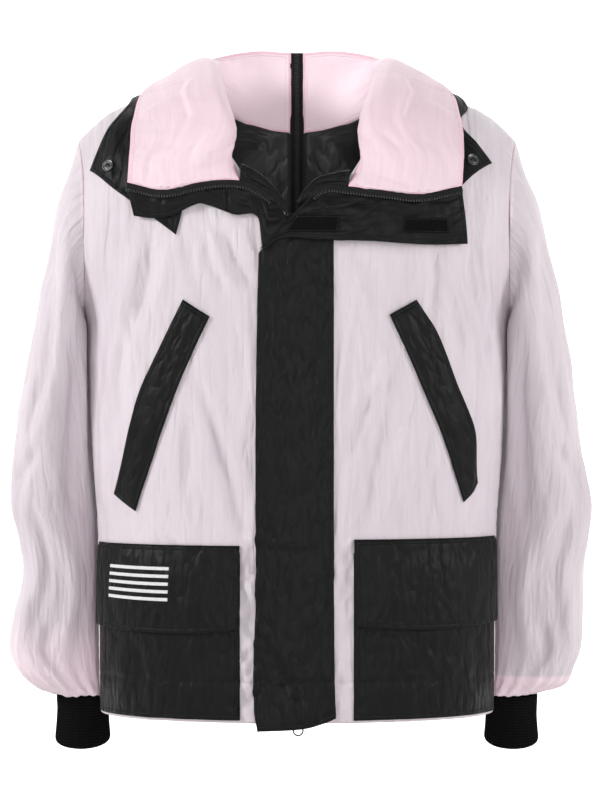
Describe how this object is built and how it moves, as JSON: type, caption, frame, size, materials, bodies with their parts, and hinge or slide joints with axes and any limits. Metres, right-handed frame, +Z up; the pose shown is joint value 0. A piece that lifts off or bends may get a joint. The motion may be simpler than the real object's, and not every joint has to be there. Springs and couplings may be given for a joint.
{
  "type": "hooded windbreaker jacket",
  "caption": "Loose hooded windbreaker with a turned-down zip collar, storm placket, slanted welts, flapped hem pockets and rib cuffs, held in its worn shape.",
  "frame": {"origin": "on the middle of the wearer's neck, level with the points where the shoulder seams meet the collar", "axes": "+Z up, the wearer faces -Y, +X towards the wearer's left arm"},
  "size_m": [0.6822, 0.3361, 0.823],
  "materials": {
    "pink_nylon": "thin crinkled nylon, low sheen",
    "collar_nylon": "thin crinkled nylon, low sheen",
    "black_nylon": "plain woven nylon, matt",
    "lining": "smooth lining, soft sheen",
    "loop_patch": "looped pile, matt",
    "rib_knit": "ribbed knit, matt",
    "zip_tape": "moulded teeth on woven tape, matt",
    "dark_metal": "dark plated metal, satin"
  },
  "bodies": {
    "jacket": {"front_left": "pink_nylon", "front_right": "pink_nylon", "back_left": "pink_nylon", "back_right": "pink_nylon", "sleeve_left": "pink_nylon", "sleeve_right": "pink_nylon", "collar_left": "collar_nylon", "collar_right": "collar_nylon", "hood": "black_nylon", "placket": "black_nylon", "zip_guard": "black_nylon", "facing_left": "black_nylon", "facing_right": "black_nylon", "collar_band_left": "black_nylon", "collar_band_right": "black_nylon", "pocket_left": "black_nylon", "pocket_right": "black_nylon", "flap_left": "black_nylon", "flap_right": "black_nylon", "welt_left": "black_nylon", "welt_right": "black_nylon", "neck_patch": "black_nylon", "loop_patch_inner": "loop_patch", "loop_patch_outer": "loop_patch", "back_lining_left": "lining", "back_lining_right": "lining", "cuff_left": "rib_knit", "cuff_right": "rib_knit", "zip_left": "zip_tape", "zip_right": "zip_tape", "zip_turn_left": "zip_tape", "zip_turn_right": "zip_tape", "back_zip": "zip_tape", "slider_top": "dark_metal", "slider_bottom": "dark_metal", "slider_lug": "dark_metal", "snap_left": "dark_metal", "snap_right": "dark_metal"},
    "pull": {"zip_pull": "dark_metal"}
  },
  "joints": [
    {"name": "pull_swing", "type": "hinge", "parent": "jacket", "child": "pull", "pos_m": [0.0015, -0.1442, -0.7112], "axis": [1, 0, 0], "range_deg": [-40, 75]}
  ]
}
